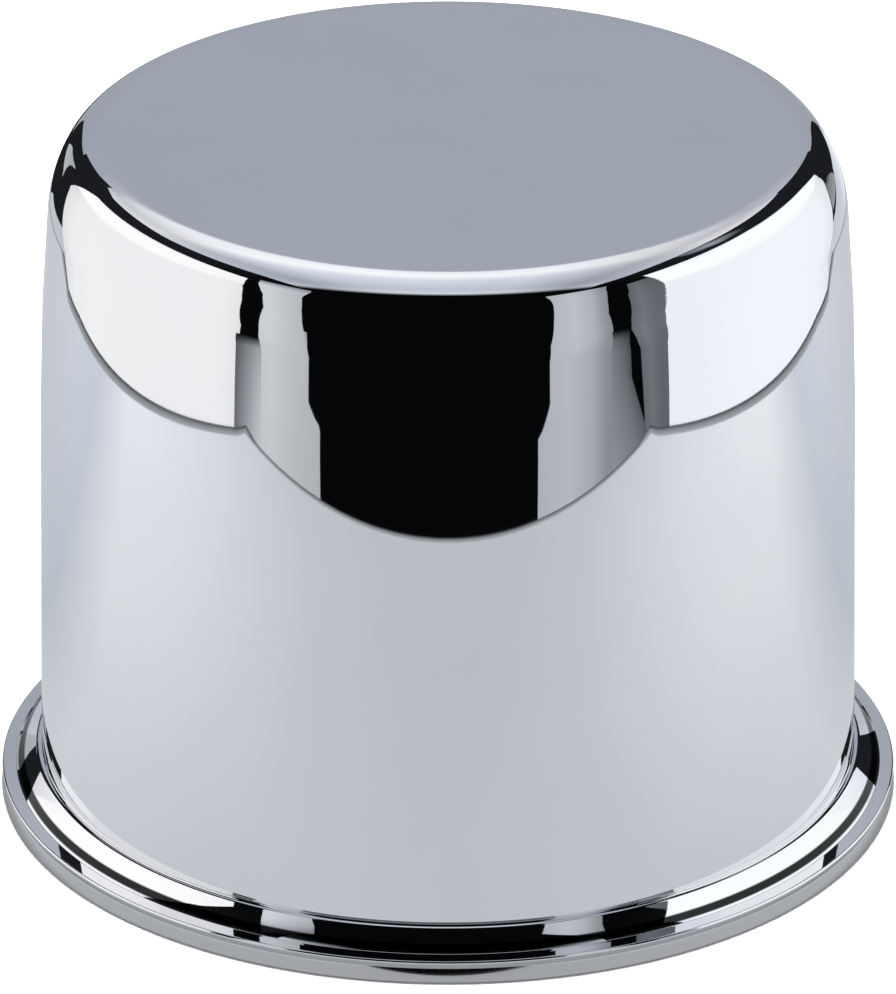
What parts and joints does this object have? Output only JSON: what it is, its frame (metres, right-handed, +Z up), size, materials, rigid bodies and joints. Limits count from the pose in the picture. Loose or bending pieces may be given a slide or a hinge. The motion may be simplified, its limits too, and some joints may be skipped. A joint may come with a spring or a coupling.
{
  "type": "wheel center cap",
  "caption": "Tall closed push-through wheel center cap with a flat crown, rounded shoulder, straight pilot land and stepped rim flange, in bright plated sheet steel.",
  "frame": {"origin": "centre of the rim's base", "axes": "+Z up the cap's axis, from the rim to the crown; the cap is the same all the way round, so +X and +Y are free"},
  "size_m": [0.1178, 0.1178, 0.0918],
  "materials": {
    "chrome_plate": "mirror-bright plating on drawn sheet steel"
  },
  "bodies": {
    "root": {"cap_shell": "chrome_plate"}
  },
  "joints": []
}
